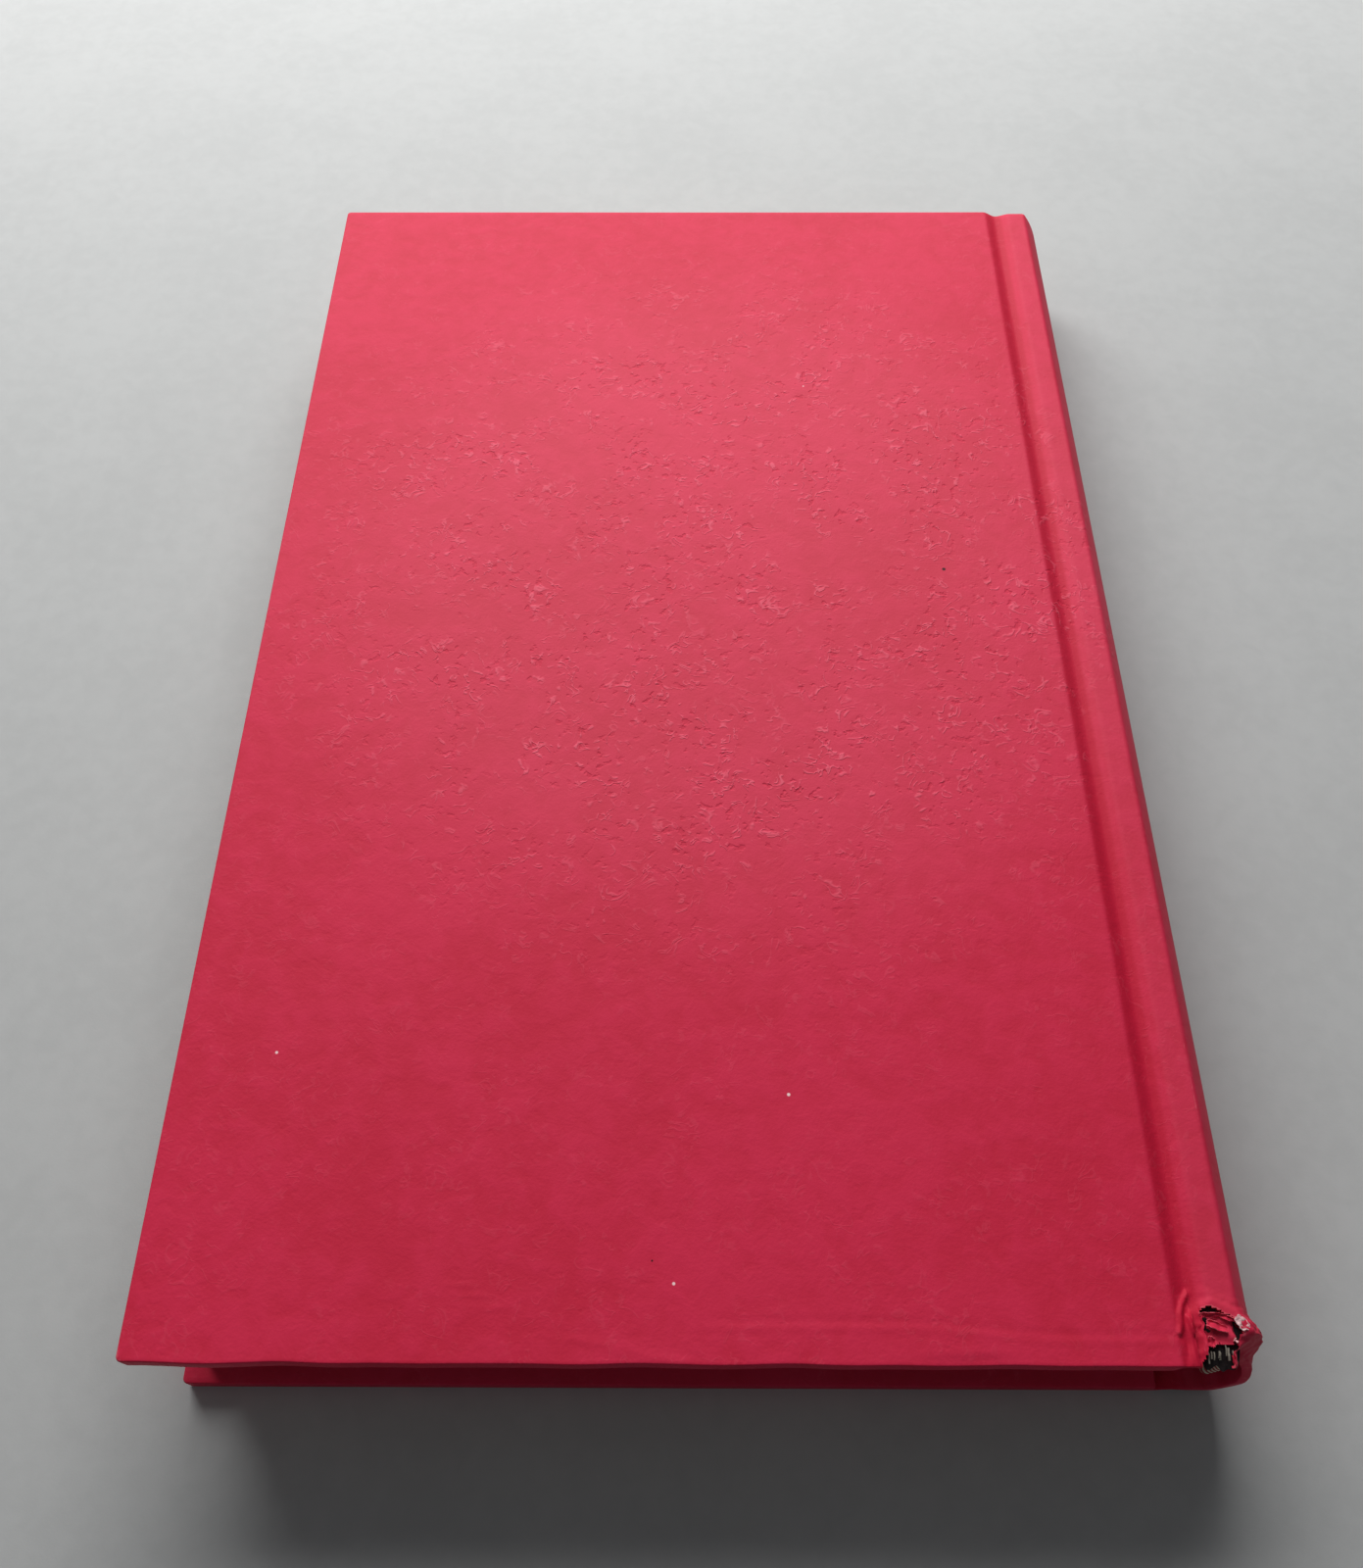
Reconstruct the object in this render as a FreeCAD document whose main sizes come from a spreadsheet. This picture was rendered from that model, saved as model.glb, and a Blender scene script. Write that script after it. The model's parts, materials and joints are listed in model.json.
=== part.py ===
import FreeCAD, Part
import math
import os
import Sketcher
from FreeCAD import Placement, Rotation, Vector

# A case-bound book lying on its front cover, head away from the viewer and spine to the right.
# Lengths are in millimetres. X runs from the fore edge to the spine, Y from tail to head, Z up.
# Inside each sub-part X is counted from the line where the covers hinge and Z from the middle of
# the book's thickness. Each Placement then carries the sub-part to the book's own frame, which
# has its origin under the middle of the book, on the surface it lies on.

doc = FreeCAD.newDocument("hardback_book")

# Driving dimensions
SIZES = {
    "page_height": 216.0,         # trimmed page, tail to head
    "page_stack": 15.2,           # pressed thickness of all the pages
    "square": 3.0,                # how far the boards stand out past the page edges
    "board_width": 131.6,
    "board_thickness": 2.5,
    "covering": 0.3,              # thickness of the covering paper, glue included
    "endpaper": 0.15,
    "turn_in": 15.0,              # covering folded over onto the inside of the boards
    "corner_radius": 1.2,         # fore corners of the boards, as covered
    "board_gap": 1.8,             # hinge line to the board's spine-side edge
    "groove_depth": 1.0,
    "groove_reach": 1.6,          # hinge line to where the groove has risen to the shoulder
    "groove_floor": 0.45,         # half width of the groove's flat bottom
    "hinge_slit": 0.15,           # each hinging sheet stops this far short of the hinge line
    "shoulder": 6.6,              # hinge line to the crisp edge where the spine begins
    "shoulder_drop": 0.4,         # the shoulder lies this far below the cover's face
    "flare_start": 0.8,           # hinge line to where the pages bend up to the shoulder
    "flare_end": 2.6,             # hinge line to where that bend ends
    "spine_round": 3.3,           # bulge of the spine past its two shoulders
    "lean": 2.4,                  # the back cover has slid this far towards the fore edge
    "fore_hollow": 1.5,           # hollow of the pages' fore edge
    "inlay": 0.8,                 # card stiffener of the spine
    "hollow": 0.3,                # air between the spine's turned-in paper and its lining
    "lining": 0.3,
    "mull": 0.3,
    "glue_line": 0.06,            # glue between the mull and the lining
    "mull_margin": 15.0,          # the mull stops this far short of head and tail
    "band_rise": 1.6,             # headband above the page edges
    "band_depth": 1.8,
    "band_round": 0.6,
    "tear_length": 5.5,           # torn spine tail: along the spine
    "tear_width": 4.4,            # from the shoulder's edge towards the groove
    "tear_reach": 0.6,            # and past that edge, round the spine
    "tear_drop": 4.0,             # how far down it cuts from the cover's face
}

# Places worked out from the driving dimensions
PLACES = {
    "cover_stack": "2 * Size.covering + Size.board_thickness + Size.endpaper",
    "page_top": "Size.page_stack / 2",
    "leaf_top": "page_top + Size.endpaper",
    "turn_low": "leaf_top + Size.endpaper",
    "board_low": "turn_low + Size.covering",
    "board_top": "board_low + Size.board_thickness",
    "face": "leaf_top + cover_stack",
    "thickness": "2 * face",
    "case_height": "Size.page_height + 2 * Size.square",
    "board_height": "case_height - 2 * Size.covering",
    "board_edge": "-Size.board_gap",
    "board_fore": "board_edge - Size.board_width",
    "case_fore": "board_fore - Size.covering",
    "page_fore": "case_fore + Size.square",
    "window_fore": "case_fore + Size.turn_in",
    "window_height": "case_height - 2 * Size.turn_in",
    "half_lean": "Size.lean / 2",
    "page_lean": "Size.lean * page_top / thickness",
    "shoulder_top": "face - Size.shoulder_drop",
    "shoulder_under": "shoulder_top - Size.covering",
    "shoulder_pages": "shoulder_under - Size.mull",
    "groove_top": "face - Size.groove_depth",
    "groove_under": "groove_top - Size.covering",
    "half_chord": "sqrt(shoulder_top ^ 2 + half_lean ^ 2)",
    "spine_radius": "(half_chord ^ 2 + Size.spine_round ^ 2) / (2 * Size.spine_round)",
    "spine_back": "spine_radius - Size.spine_round",
    "spine_x": "Size.shoulder - spine_back * shoulder_top / half_chord",
    "spine_z": "-spine_back * half_lean / half_chord",
    "inlay_out": "spine_radius - Size.covering",
    "inlay_in": "inlay_out - Size.inlay",
    "turn_in_face": "inlay_in - Size.covering",
    "lining_out": "turn_in_face - Size.hollow",
    "lining_in": "lining_out - Size.lining",
    "mull_out": "lining_in - Size.glue_line",
    "mull_in": "mull_out - Size.mull",
    "band_in": "mull_in - Size.band_depth",
    "fore_chord": "sqrt(page_top ^ 2 + page_lean ^ 2)",
    "fore_radius": "(fore_chord ^ 2 + Size.fore_hollow ^ 2) / (2 * Size.fore_hollow)",
    "centre_x": "(half_lean - case_fore - spine_x - spine_radius) / 2",
}


def fill_sheet(name, cells):
    sheet = doc.addObject("Spreadsheet::Sheet", name)
    for row, (alias, content) in enumerate(cells.items(), start=1):
        sheet.set(f"A{row}", alias)
        sheet.set(f"B{row}", content)
        sheet.setAlias(f"B{row}", alias)


fill_sheet("Size", {name: str(value) for name, value in SIZES.items()})
fill_sheet("Place", {name: "=" + formula for name, formula in PLACES.items()})
doc.recompute()


# Bodies, sketches and features

def new_body(label, x="Place.centre_x", turned=False):
    """A body whose own zero is the hinge line at mid thickness; turned lays it upside down."""
    body = doc.addObject("PartDesign::Body", label)
    body.Label = label
    body.Placement = Placement(Vector(), Rotation(Vector(1, 0, 0), 180 if turned else 0))
    body.setExpression("Placement.Base.x", x)
    body.setExpression("Placement.Base.z", "Place.face")
    return body


def arc_between(start, end, radius):
    """The short arc from start to end; a positive radius bulges to the right of the way along."""
    first, last = (start, end) if radius > 0 else (end, start)
    chord = last - first
    inward = Vector(-chord.y, chord.x, 0).normalize()
    centre = (first + last) / 2 + inward * math.sqrt(radius ** 2 - (chord.Length / 2) ** 2)
    circle = Part.Circle(centre, Vector(0, 0, 1), abs(radius))
    low, high = circle.parameter(first), circle.parameter(last)
    return Part.ArcOfCircle(circle, low, high if high > low else high + 2 * math.pi)


def sketch_outline(body, name, plane, points, arcs=None, offset="0"):
    """A closed outline whose corners are pairs of expressions; arcs gives the radius expression
    of each side that isn't straight, and offset the sketch's height above its plane."""
    sketch = body.newObject("Sketcher::SketchObject", name)
    origin_plane = next(f for f in body.Origin.OriginFeatures if f.Role == plane)
    sketch.AttachmentSupport = (origin_plane, [""])
    sketch.MapMode = "FlatFace"
    sketch.setExpression("AttachmentOffset.Base.z", offset)
    corners = [Vector(*[float(sketch.evalExpression(axis)) for axis in point]) for point in points]
    arcs = arcs or {}
    ends = []
    for side, start in enumerate(corners):
        end = corners[(side + 1) % len(corners)]
        if side in arcs:
            radius = float(sketch.evalExpression(arcs[side]))
            sketch.addGeometry(arc_between(start, end, radius))
        else:
            sketch.addGeometry(Part.LineSegment(start, end))
        runs_forward = (sketch.Geometry[side].StartPoint - start).Length < 1e-6
        ends.append((1, 2) if runs_forward else (2, 1))
    for side in range(len(corners)):
        after = (side + 1) % len(corners)
        sketch.addConstraint(Sketcher.Constraint("Coincident", side, ends[side][1], after, ends[after][0]))
    for side, (corner, point) in enumerate(zip(corners, points)):
        for kind, value, expression in zip(("DistanceX", "DistanceY"), corner, point):
            index = sketch.addConstraint(Sketcher.Constraint(kind, -1, 1, side, ends[side][0], value))
            sketch.setExpression(f"Constraints[{index}]", expression)
    for side, radius in arcs.items():
        value = abs(float(sketch.evalExpression(radius)))
        index = sketch.addConstraint(Sketcher.Constraint("Radius", side, value))
        sketch.setExpression(f"Constraints[{index}]", f"abs({radius})")
    return sketch


def extrude(body, kind, name, sketch, length, both_ways=False, upward=False):
    """A Pad or Pocket; upward makes a pocket cut along its sketch's normal."""
    feature = body.newObject(f"PartDesign::{kind}", name)
    feature.Profile = sketch
    feature.SideType = "Symmetric" if both_ways else "One side"
    feature.Reversed = upward
    feature.setExpression("Length", length)
    sketch.Visibility = False
    doc.recompute()
    return feature


def round_edges(body, name, feature, radius, wanted):
    """Fillets the feature's edges that the wanted test picks."""
    names = [f"Edge{i}" for i, edge in enumerate(feature.Shape.Edges, start=1) if wanted(edge)]
    fillet = body.newObject("PartDesign::Fillet", name)
    fillet.Base = (feature, names)
    fillet.setExpression("Radius", radius)
    doc.recompute()
    return fillet


def rectangle(low_x, high_x, half_y):
    return [(low_x, f"-({half_y})"), (high_x, f"-({half_y})"), (high_x, half_y), (low_x, half_y)]


def board_outline():
    """A board seen from above, with its two fore corners rounded; gives points and arcs."""
    fore, edge, half_height = "Place.board_fore", "Place.board_edge", "Place.board_height / 2"
    radius = "(Size.corner_radius - Size.covering)"
    inset = f"{half_height} - {radius}"
    points = [
        (edge, f"-{half_height}"),
        (edge, half_height),
        (f"{fore} + {radius}", half_height),
        (fore, inset),
        (fore, f"-({inset})"),
        (f"{fore} + {radius}", f"-{half_height}"),
    ]
    return points, {2: radius, 4: radius}


# The two covers: the front one is the same as the back one, turned over

def make_board(label, **place):
    body = new_body(label, **place)
    points, arcs = board_outline()
    outline = sketch_outline(body, f"{label}_outline", "XY_Plane", points, arcs, "Place.board_low")
    extrude(body, "Pad", f"{label}_sheet", outline, "Size.board_thickness")
    return body


def make_cover_paper(label, **place):
    """Covering paper of one board: its face, its three turned edges and its half of the groove."""
    body = new_body(label, **place)
    section = sketch_outline(body, f"{label}_section", "XZ_Plane", [
        ("Place.case_fore", "Place.turn_low"),
        ("Place.board_edge", "Place.turn_low"),
        ("Place.board_edge", "Place.groove_under"),
        ("-Size.hinge_slit", "Place.groove_under"),
        ("-Size.hinge_slit", "Place.groove_top"),
        ("-Size.groove_floor", "Place.groove_top"),
        ("Place.board_edge + Size.covering", "Place.board_top"),
        ("Place.board_edge", "Place.face"),
        ("Place.case_fore", "Place.face"),
    ])
    block = extrude(body, "Pad", f"{label}_block", section, "Place.case_height", both_ways=True)
    fore = min(vertex.X for vertex in block.Shape.Vertexes)

    def is_fore_corner(edge):
        at_fore = all(abs(vertex.X - fore) < 1e-4 for vertex in edge.Vertexes)
        return at_fore and abs(edge.Vertexes[0].Z - edge.Vertexes[1].Z) > 1e-4

    round_edges(body, f"{label}_corners", block, "Size.corner_radius", is_fore_corner)
    points, arcs = board_outline()
    room = sketch_outline(body, f"{label}_room_outline", "XY_Plane", points, arcs, "Place.board_low")
    extrude(body, "Pocket", f"{label}_board_room", room, "Size.board_thickness", upward=True)
    window = rectangle("Place.window_fore", "Place.board_edge", "Place.window_height / 2")
    window = sketch_outline(body, f"{label}_window_outline", "XY_Plane", window, None, "Place.turn_low")
    extrude(body, "Pocket", f"{label}_window", window, "Size.covering", upward=True)
    return body


def make_pastedown(label, **place):
    """Endpaper glued down inside a cover: it sinks onto the board between the turned-in edges."""
    body = new_body(label, **place)
    sheet = rectangle("Place.page_fore", "Place.board_edge", "Size.page_height / 2")
    sheet = sketch_outline(body, f"{label}_outline", "XY_Plane", sheet, None, "Place.leaf_top")
    extrude(body, "Pad", f"{label}_sheet", sheet, "Size.endpaper")
    sunk = rectangle("Place.window_fore", "Place.board_edge", "Place.window_height / 2")
    sunk = sketch_outline(body, f"{label}_sunk_outline", "XY_Plane", sunk, None, "Place.turn_low")
    extrude(body, "Pad", f"{label}_sunk", sunk, "Size.covering")
    dish = rectangle("Place.window_fore + Size.endpaper", "Place.board_edge",
                     "Place.window_height / 2 - Size.endpaper")
    dish = sketch_outline(body, f"{label}_dish_outline", "XY_Plane", dish, None, "Place.leaf_top")
    extrude(body, "Pocket", f"{label}_dish", dish, "Size.covering", upward=True)
    return body


def make_flyleaf(label, **place):
    """Free half of the endpaper, tipped to the outermost page along the spine."""
    body = new_body(label, **place)
    leaf = rectangle("Place.page_fore", "Size.flare_start", "Size.page_height / 2")
    leaf = sketch_outline(body, f"{label}_outline", "XY_Plane", leaf, None, "Place.page_top")
    extrude(body, "Pad", f"{label}_sheet", leaf, "Size.endpaper")
    return body


# The pages and what is glued to their spine. Above mid thickness the section leans towards the
# fore edge, below it away, so each corner is written once for the two sides, +1 above and -1 below.

def leaning(side, x, z, lean="Place.half_lean"):
    return f"{x} - ({side}) * {lean}", f"({side}) * {z}"


def on_spine(side, radius, z):
    """The corner where the arc of this radius round the spine's centre passes height z."""
    height = f"({side}) * {z}"
    return f"Place.spine_x + sqrt({radius} ^ 2 - ({height} - Place.spine_z) ^ 2)", height


def spine_band(inner, outer, z):
    """Section of a layer that follows the round spine; gives points and arcs."""
    points = [on_spine(-1, inner, z), on_spine(-1, outer, z), on_spine(1, outer, z), on_spine(1, inner, z)]
    return points, {1: outer, 3: f"-({inner})"}


def make_text_block(label):
    body = new_body(label)
    points = []
    for side in (-1, 1):
        half = [
            leaning(side, "Place.page_fore", "Place.page_top", "Place.page_lean"),
            leaning(side, "Size.flare_start", "Place.page_top", "Place.page_lean"),
            leaning(side, "Size.flare_end", "Place.shoulder_pages"),
            on_spine(side, "Place.mull_in", "Place.shoulder_pages"),
        ]
        points += half if side < 0 else half[::-1]
    arcs = {3: "Place.mull_in", 7: "-Place.fore_radius"}
    section = sketch_outline(body, f"{label}_section", "XZ_Plane", points, arcs)
    extrude(body, "Pad", f"{label}_pages", section, "Size.page_height", both_ways=True)
    return body


def make_spine_layer(label, inner, outer, z, length):
    body = new_body(label)
    points, arcs = spine_band(inner, outer, z)
    section = sketch_outline(body, f"{label}_section", "XZ_Plane", points, arcs)
    extrude(body, "Pad", f"{label}_sheet", section, length, both_ways=True)
    return body


def make_mull(label):
    """Gauze over the pages' spine and both shoulders."""
    body = new_body(label)
    points = []
    for side in (-1, 1):
        half = [
            on_spine(side, "Place.mull_in", "Place.shoulder_pages"),
            leaning(side, "Size.flare_end", "Place.shoulder_pages"),
            leaning(side, "Size.flare_end", "Place.shoulder_under"),
            on_spine(side, "Place.mull_out", "Place.shoulder_under"),
        ]
        points += half if side < 0 else half[::-1]
    arcs = {3: "Place.mull_out", 7: "-Place.mull_in"}
    section = sketch_outline(body, f"{label}_section", "XZ_Plane", points, arcs)
    extrude(body, "Pad", f"{label}_gauze", section, "Size.page_height - 2 * Size.mull_margin", both_ways=True)
    return body


def make_band(label, far_face):
    """Head or tail band: a bead on the page ends that follows the spine; far_face is its Y."""
    body = new_body(label)
    points, arcs = spine_band("Place.band_in", "Place.mull_in", "Place.page_top")
    section = sketch_outline(body, f"{label}_section", "XZ_Plane", points, arcs, f"-({far_face})")
    bead = extrude(body, "Pad", f"{label}_bead", section, "Size.band_rise")
    farthest = max((vertex.Y for vertex in bead.Shape.Vertexes), key=abs)

    def is_outer_rim(edge):
        return all(abs(vertex.Y - farthest) < 1e-4 for vertex in edge.Vertexes)

    round_edges(body, f"{label}_round", bead, "Size.band_round", is_outer_rim)
    return body


# The spine of the case, torn at the tail

# The torn outline's corners, as shares of its extent to one side of the shoulder's edge (the groove's
# side is negative) and of its length from the tail. It starts a little outside the tail.
RAGGED_CORNERS = [(-0.9, -0.2), (0.7, -0.2), (1.0, 0.35), (0.6, 0.8), (-0.3, 1.0), (-0.8, 0.9), (-1.0, 0.4)]


def tear_open(body, label):
    """Cuts the tear out of a spine layer at the tail, from the cover's face downwards."""
    tail = "-Place.case_height / 2"
    edge = "Size.shoulder - Place.half_lean"
    ragged = []
    for across, along in RAGGED_CORNERS:
        extent = "Size.tear_width" if across < 0 else "Size.tear_reach"
        ragged.append((f"{edge} + ({across}) * {extent}", f"{tail} + ({along}) * Size.tear_length"))
    outline = sketch_outline(body, f"{label}_tear_outline", "XY_Plane", ragged, None,
                             "Place.face - Size.tear_drop")
    extrude(body, "Pocket", f"{label}_tear", outline, "Size.tear_drop", upward=True)


def make_spine_paper(label):
    """Covering paper of the spine: hinge line to hinge line, turned in at head and tail."""
    body = new_body(label)
    points = []
    for side in (-1, 1):
        half = [
            on_spine(side, "Place.turn_in_face", "Place.shoulder_under"),
            leaning(side, "Size.groove_reach", "Place.shoulder_under"),
            leaning(side, "Size.groove_floor", "Place.groove_under"),
            leaning(side, "Size.hinge_slit", "Place.groove_under"),
            leaning(side, "Size.hinge_slit", "Place.groove_top"),
            leaning(side, "Size.groove_floor", "Place.groove_top"),
            leaning(side, "Size.groove_reach", "Place.shoulder_top"),
            on_spine(side, "Place.spine_radius", "Place.shoulder_top"),
        ]
        points += half if side < 0 else half[::-1]
    arcs = {7: "Place.spine_radius", 15: "-Place.turn_in_face"}
    section = sketch_outline(body, f"{label}_section", "XZ_Plane", points, arcs)
    extrude(body, "Pad", f"{label}_wrap", section, "Place.case_height", both_ways=True)
    points, arcs = spine_band("Place.inlay_in", "Place.inlay_out", "Place.shoulder_under")
    room = sketch_outline(body, f"{label}_room_section", "XZ_Plane", points, arcs)
    extrude(body, "Pocket", f"{label}_inlay_room", room, "Place.board_height", both_ways=True)
    points, arcs = spine_band("Place.turn_in_face", "Place.inlay_in", "Place.shoulder_under")
    middle = sketch_outline(body, f"{label}_middle_section", "XZ_Plane", points, arcs)
    extrude(body, "Pocket", f"{label}_bare_middle", middle, "Place.window_height", both_ways=True)
    tear_open(body, label)
    return body


def make_spine_inlay(label):
    body = make_spine_layer(label, "Place.inlay_in", "Place.inlay_out", "Place.shoulder_under",
                            "Place.board_height")
    tear_open(body, label)
    return body


BACK = {"x": "Place.centre_x - Place.half_lean"}
FRONT = {"x": "Place.centre_x + Place.half_lean", "turned": True}

subparts = []
for cover, place in (("back", BACK), ("front", FRONT)):
    subparts.append(make_board(f"{cover}_board", **place))
    subparts.append(make_cover_paper(f"{cover}_covering", **place))
    subparts.append(make_pastedown(f"{cover}_pastedown", **place))
subparts.append(make_flyleaf("back_flyleaf", x="Place.centre_x - Place.page_lean"))
subparts.append(make_flyleaf("front_flyleaf", x="Place.centre_x + Place.page_lean", turned=True))
subparts.append(make_text_block("text_block"))
subparts.append(make_mull("mull"))
subparts.append(make_spine_layer("spine_lining", "Place.lining_in", "Place.lining_out",
                                 "Place.shoulder_pages", "Size.page_height"))
subparts.append(make_band("headband", "Size.page_height / 2 + Size.band_rise"))
subparts.append(make_band("tailband", "-Size.page_height / 2"))
subparts.append(make_spine_inlay("spine_inlay"))
subparts.append(make_spine_paper("spine_covering"))
doc.recompute()

# Checks, then one STEP file for each sub-part
for item in doc.Objects:
    if any(word in item.State for word in ("Invalid", "Error")):
        raise RuntimeError(f"{item.Label} failed: {item.State}")
os.makedirs("parts", exist_ok=True)
for body in subparts:
    shape = body.Shape
    if shape.isNull() or not shape.isValid():
        raise RuntimeError(f"{body.Label} has no valid shape")
    if len(shape.Solids) != 1:
        raise RuntimeError(f"{body.Label} has {len(shape.Solids)} solids")
    shape.exportStep(f"parts/{body.Label}.step")
    box = shape.BoundBox
    print(f"{body.Label:16} x {box.XMin:8.2f} {box.XMax:8.2f}  y {box.YMin:8.2f} {box.YMax:8.2f}"
          f"  z {box.ZMin:7.2f} {box.ZMax:7.2f}  volume {shape.Volume:10.1f}")
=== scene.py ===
# %% [markdown]
# # A worn hardback book
# The measured model of the book is loaded first, as a frame that never moves. Everything below is
# dressed onto it: the red covering paper as one thin folded sheet per cover and one for the spine,
# the pages in their gatherings, the endpapers, the headbands, and the torn tail of the spine.
# Lengths are in metres, with MM to write them in millimetres.

# %% Load the measured book
import json
import math
import random

import bmesh
import bpy
from mathutils import Matrix, Vector, noise


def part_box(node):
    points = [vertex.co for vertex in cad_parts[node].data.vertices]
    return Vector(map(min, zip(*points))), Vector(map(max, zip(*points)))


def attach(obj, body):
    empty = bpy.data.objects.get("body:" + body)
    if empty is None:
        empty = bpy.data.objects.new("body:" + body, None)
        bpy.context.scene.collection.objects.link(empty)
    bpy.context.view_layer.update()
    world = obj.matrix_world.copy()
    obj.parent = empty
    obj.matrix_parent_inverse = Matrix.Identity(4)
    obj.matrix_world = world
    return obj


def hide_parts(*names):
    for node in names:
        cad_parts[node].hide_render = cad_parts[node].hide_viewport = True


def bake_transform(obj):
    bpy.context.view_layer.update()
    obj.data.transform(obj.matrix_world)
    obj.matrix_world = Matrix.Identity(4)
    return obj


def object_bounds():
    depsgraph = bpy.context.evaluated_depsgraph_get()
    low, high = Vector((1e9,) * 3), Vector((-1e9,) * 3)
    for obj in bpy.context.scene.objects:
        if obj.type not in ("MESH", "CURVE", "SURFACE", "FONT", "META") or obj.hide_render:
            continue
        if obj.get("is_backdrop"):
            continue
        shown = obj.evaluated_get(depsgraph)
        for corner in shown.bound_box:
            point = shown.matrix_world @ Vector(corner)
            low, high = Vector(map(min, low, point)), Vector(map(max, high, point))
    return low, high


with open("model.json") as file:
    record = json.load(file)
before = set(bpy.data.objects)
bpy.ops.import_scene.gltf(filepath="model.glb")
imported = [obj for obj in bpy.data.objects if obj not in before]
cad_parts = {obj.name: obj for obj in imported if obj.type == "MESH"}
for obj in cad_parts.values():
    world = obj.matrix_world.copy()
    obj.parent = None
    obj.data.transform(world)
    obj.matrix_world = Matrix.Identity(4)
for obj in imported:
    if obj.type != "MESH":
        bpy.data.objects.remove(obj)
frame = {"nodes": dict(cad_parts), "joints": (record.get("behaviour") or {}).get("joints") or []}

MM = 0.001
cad_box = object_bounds()
print("pieces in the frame:", sorted(frame["nodes"]))

# %% [markdown]
# ## Sizes taken from the frame
# The boards, the paper and the two hinge lines already have their places. Reading them here means
# that a new measured model carries the looks along. X runs from the fore edge to the spine, Y from
# tail to head and Z up out of the back cover, which is the upper one here.

# %% Sizes of the case
board_low, board_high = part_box("back_board")
paper_low, paper_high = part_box("back_covering")
CASE_FORE = paper_low.x
HALF_HEIGHT = paper_high.y
FACE = paper_high.z
TURN_LOW = paper_low.z
BOARD_EDGE = board_high.x
PAPER = FACE - board_high.z
MIDDLE = FACE / 2
hinges = {joint["child"]: Vector(joint["pos_m"]) for joint in frame["joints"]}
HINGE = hinges["back_cover"].x
LEAN = hinges["front_cover"].x - HINGE
SHOULDER_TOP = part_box("spine_covering")[1].z
SHOULDER = 6.6 * MM
GROOVE_DEPTH = 1.0 * MM
TURN_IN = 15.0 * MM
SEAM = 0.7 * MM
print(f"case {2 * HALF_HEIGHT:.3f} m tall, {FACE:.3f} m thick, leaning {LEAN:.4f} m")

# %% The round of the spine, through both shoulders
SPINE_ROUND = 3.3 * MM
upper_shoulder = Vector((HINGE + SHOULDER, 0, SHOULDER_TOP))
lower_shoulder = Vector((HINGE + LEAN + SHOULDER, 0, FACE - SHOULDER_TOP))
chord = lower_shoulder - upper_shoulder
spine_radius = (chord.length ** 2 / 4 + SPINE_ROUND ** 2) / (2 * SPINE_ROUND)
outward = Vector((-chord.z, 0, chord.x)).normalized()
spine_centre = (upper_shoulder + lower_shoulder) / 2 - outward * (spine_radius - SPINE_ROUND)
print(f"spine radius {spine_radius:.4f} m, centre {spine_centre.x:.4f}, {spine_centre.z:.4f}")

# %% [markdown]
# ## The camera
# The photograph was taken from above the tail edge, looking down and towards the head. The tilt,
# the height and the lens come from where the cover's four edges meet when they are drawn on.

# %% Camera at the photograph's viewing angle
CAMERA_PLACE = Vector((-1.35, -135.53, 202.68)) * MM
CAMERA_TILT = math.radians(59.088)
CAMERA_TURN = math.radians(-0.626)
CAMERA_ROLL = math.radians(-0.441)
SENSOR = 36.0
PHOTO_HEIGHT = 1600
FOCAL_PIXELS = 1385

camera_data = bpy.data.cameras.new("camera")
camera_data.sensor_width = SENSOR
camera_data.lens = SENSOR * FOCAL_PIXELS / PHOTO_HEIGHT
camera_data.clip_start = 0.01
camera = bpy.data.objects.new("camera", camera_data)
bpy.context.scene.collection.objects.link(camera)
camera.matrix_world = (
    Matrix.Translation(CAMERA_PLACE)
    @ Matrix.Rotation(-CAMERA_TURN, 4, "Z")
    @ Matrix.Rotation(math.pi / 2 - CAMERA_TILT, 4, "X")
    @ Matrix.Rotation(CAMERA_ROLL, 4, "Z")
)
bpy.context.scene.camera = camera
print(f"lens {camera_data.lens:.1f} mm")

# %% [markdown]
# ## Light and floor
# Uncoated paper shows its relief only where light grazes it. A broad soft lamp beyond the head end
# and to the left gives the pink glow that fades towards the tail, and puts the joint's left wall
# and the near edge into shade. A weak grey world keeps the shade open.

# %% Lamps, world and floor
def aim(thing, place, target):
    direction = Vector(target) - Vector(place)
    thing.matrix_world = Matrix.Translation(place) @ direction.to_track_quat("-Z", "Y").to_matrix().to_4x4()


def soft_lamp(name, place, target, size, watts):
    lamp = bpy.data.lights.new(name, "AREA")
    lamp.shape = "RECTANGLE"
    lamp.size, lamp.size_y = size
    lamp.energy = watts
    shown = bpy.data.objects.new(name, lamp)
    bpy.context.scene.collection.objects.link(shown)
    aim(shown, place, target)
    return shown


LAMP_PLACE = (-0.10, 0.52, 0.42)
LAMP_SIZE = (0.80, 0.40)
LAMP_WATTS = 7.7
SHADE_COLOUR = (0.75, 0.78, 0.82, 1)
SHADE_STRENGTH = 0.14
soft_lamp("window_light", LAMP_PLACE, (0, 0, 0), LAMP_SIZE, LAMP_WATTS)

world = bpy.data.worlds.new("studio")
bpy.context.scene.world = world
world.use_nodes = True
studio = world.node_tree.nodes["Background"].inputs
studio["Color"].default_value = SHADE_COLOUR
studio["Strength"].default_value = SHADE_STRENGTH
bpy.context.scene.view_settings.view_transform = "Standard"
print("lamps:", [lamp.name for lamp in bpy.data.lights])

# %% [markdown]
# ## Small helpers for shader nodes
# A node is added with its settings and its inputs in one call. An input that is a socket is
# linked, and any other value is set on the socket itself.

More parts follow.
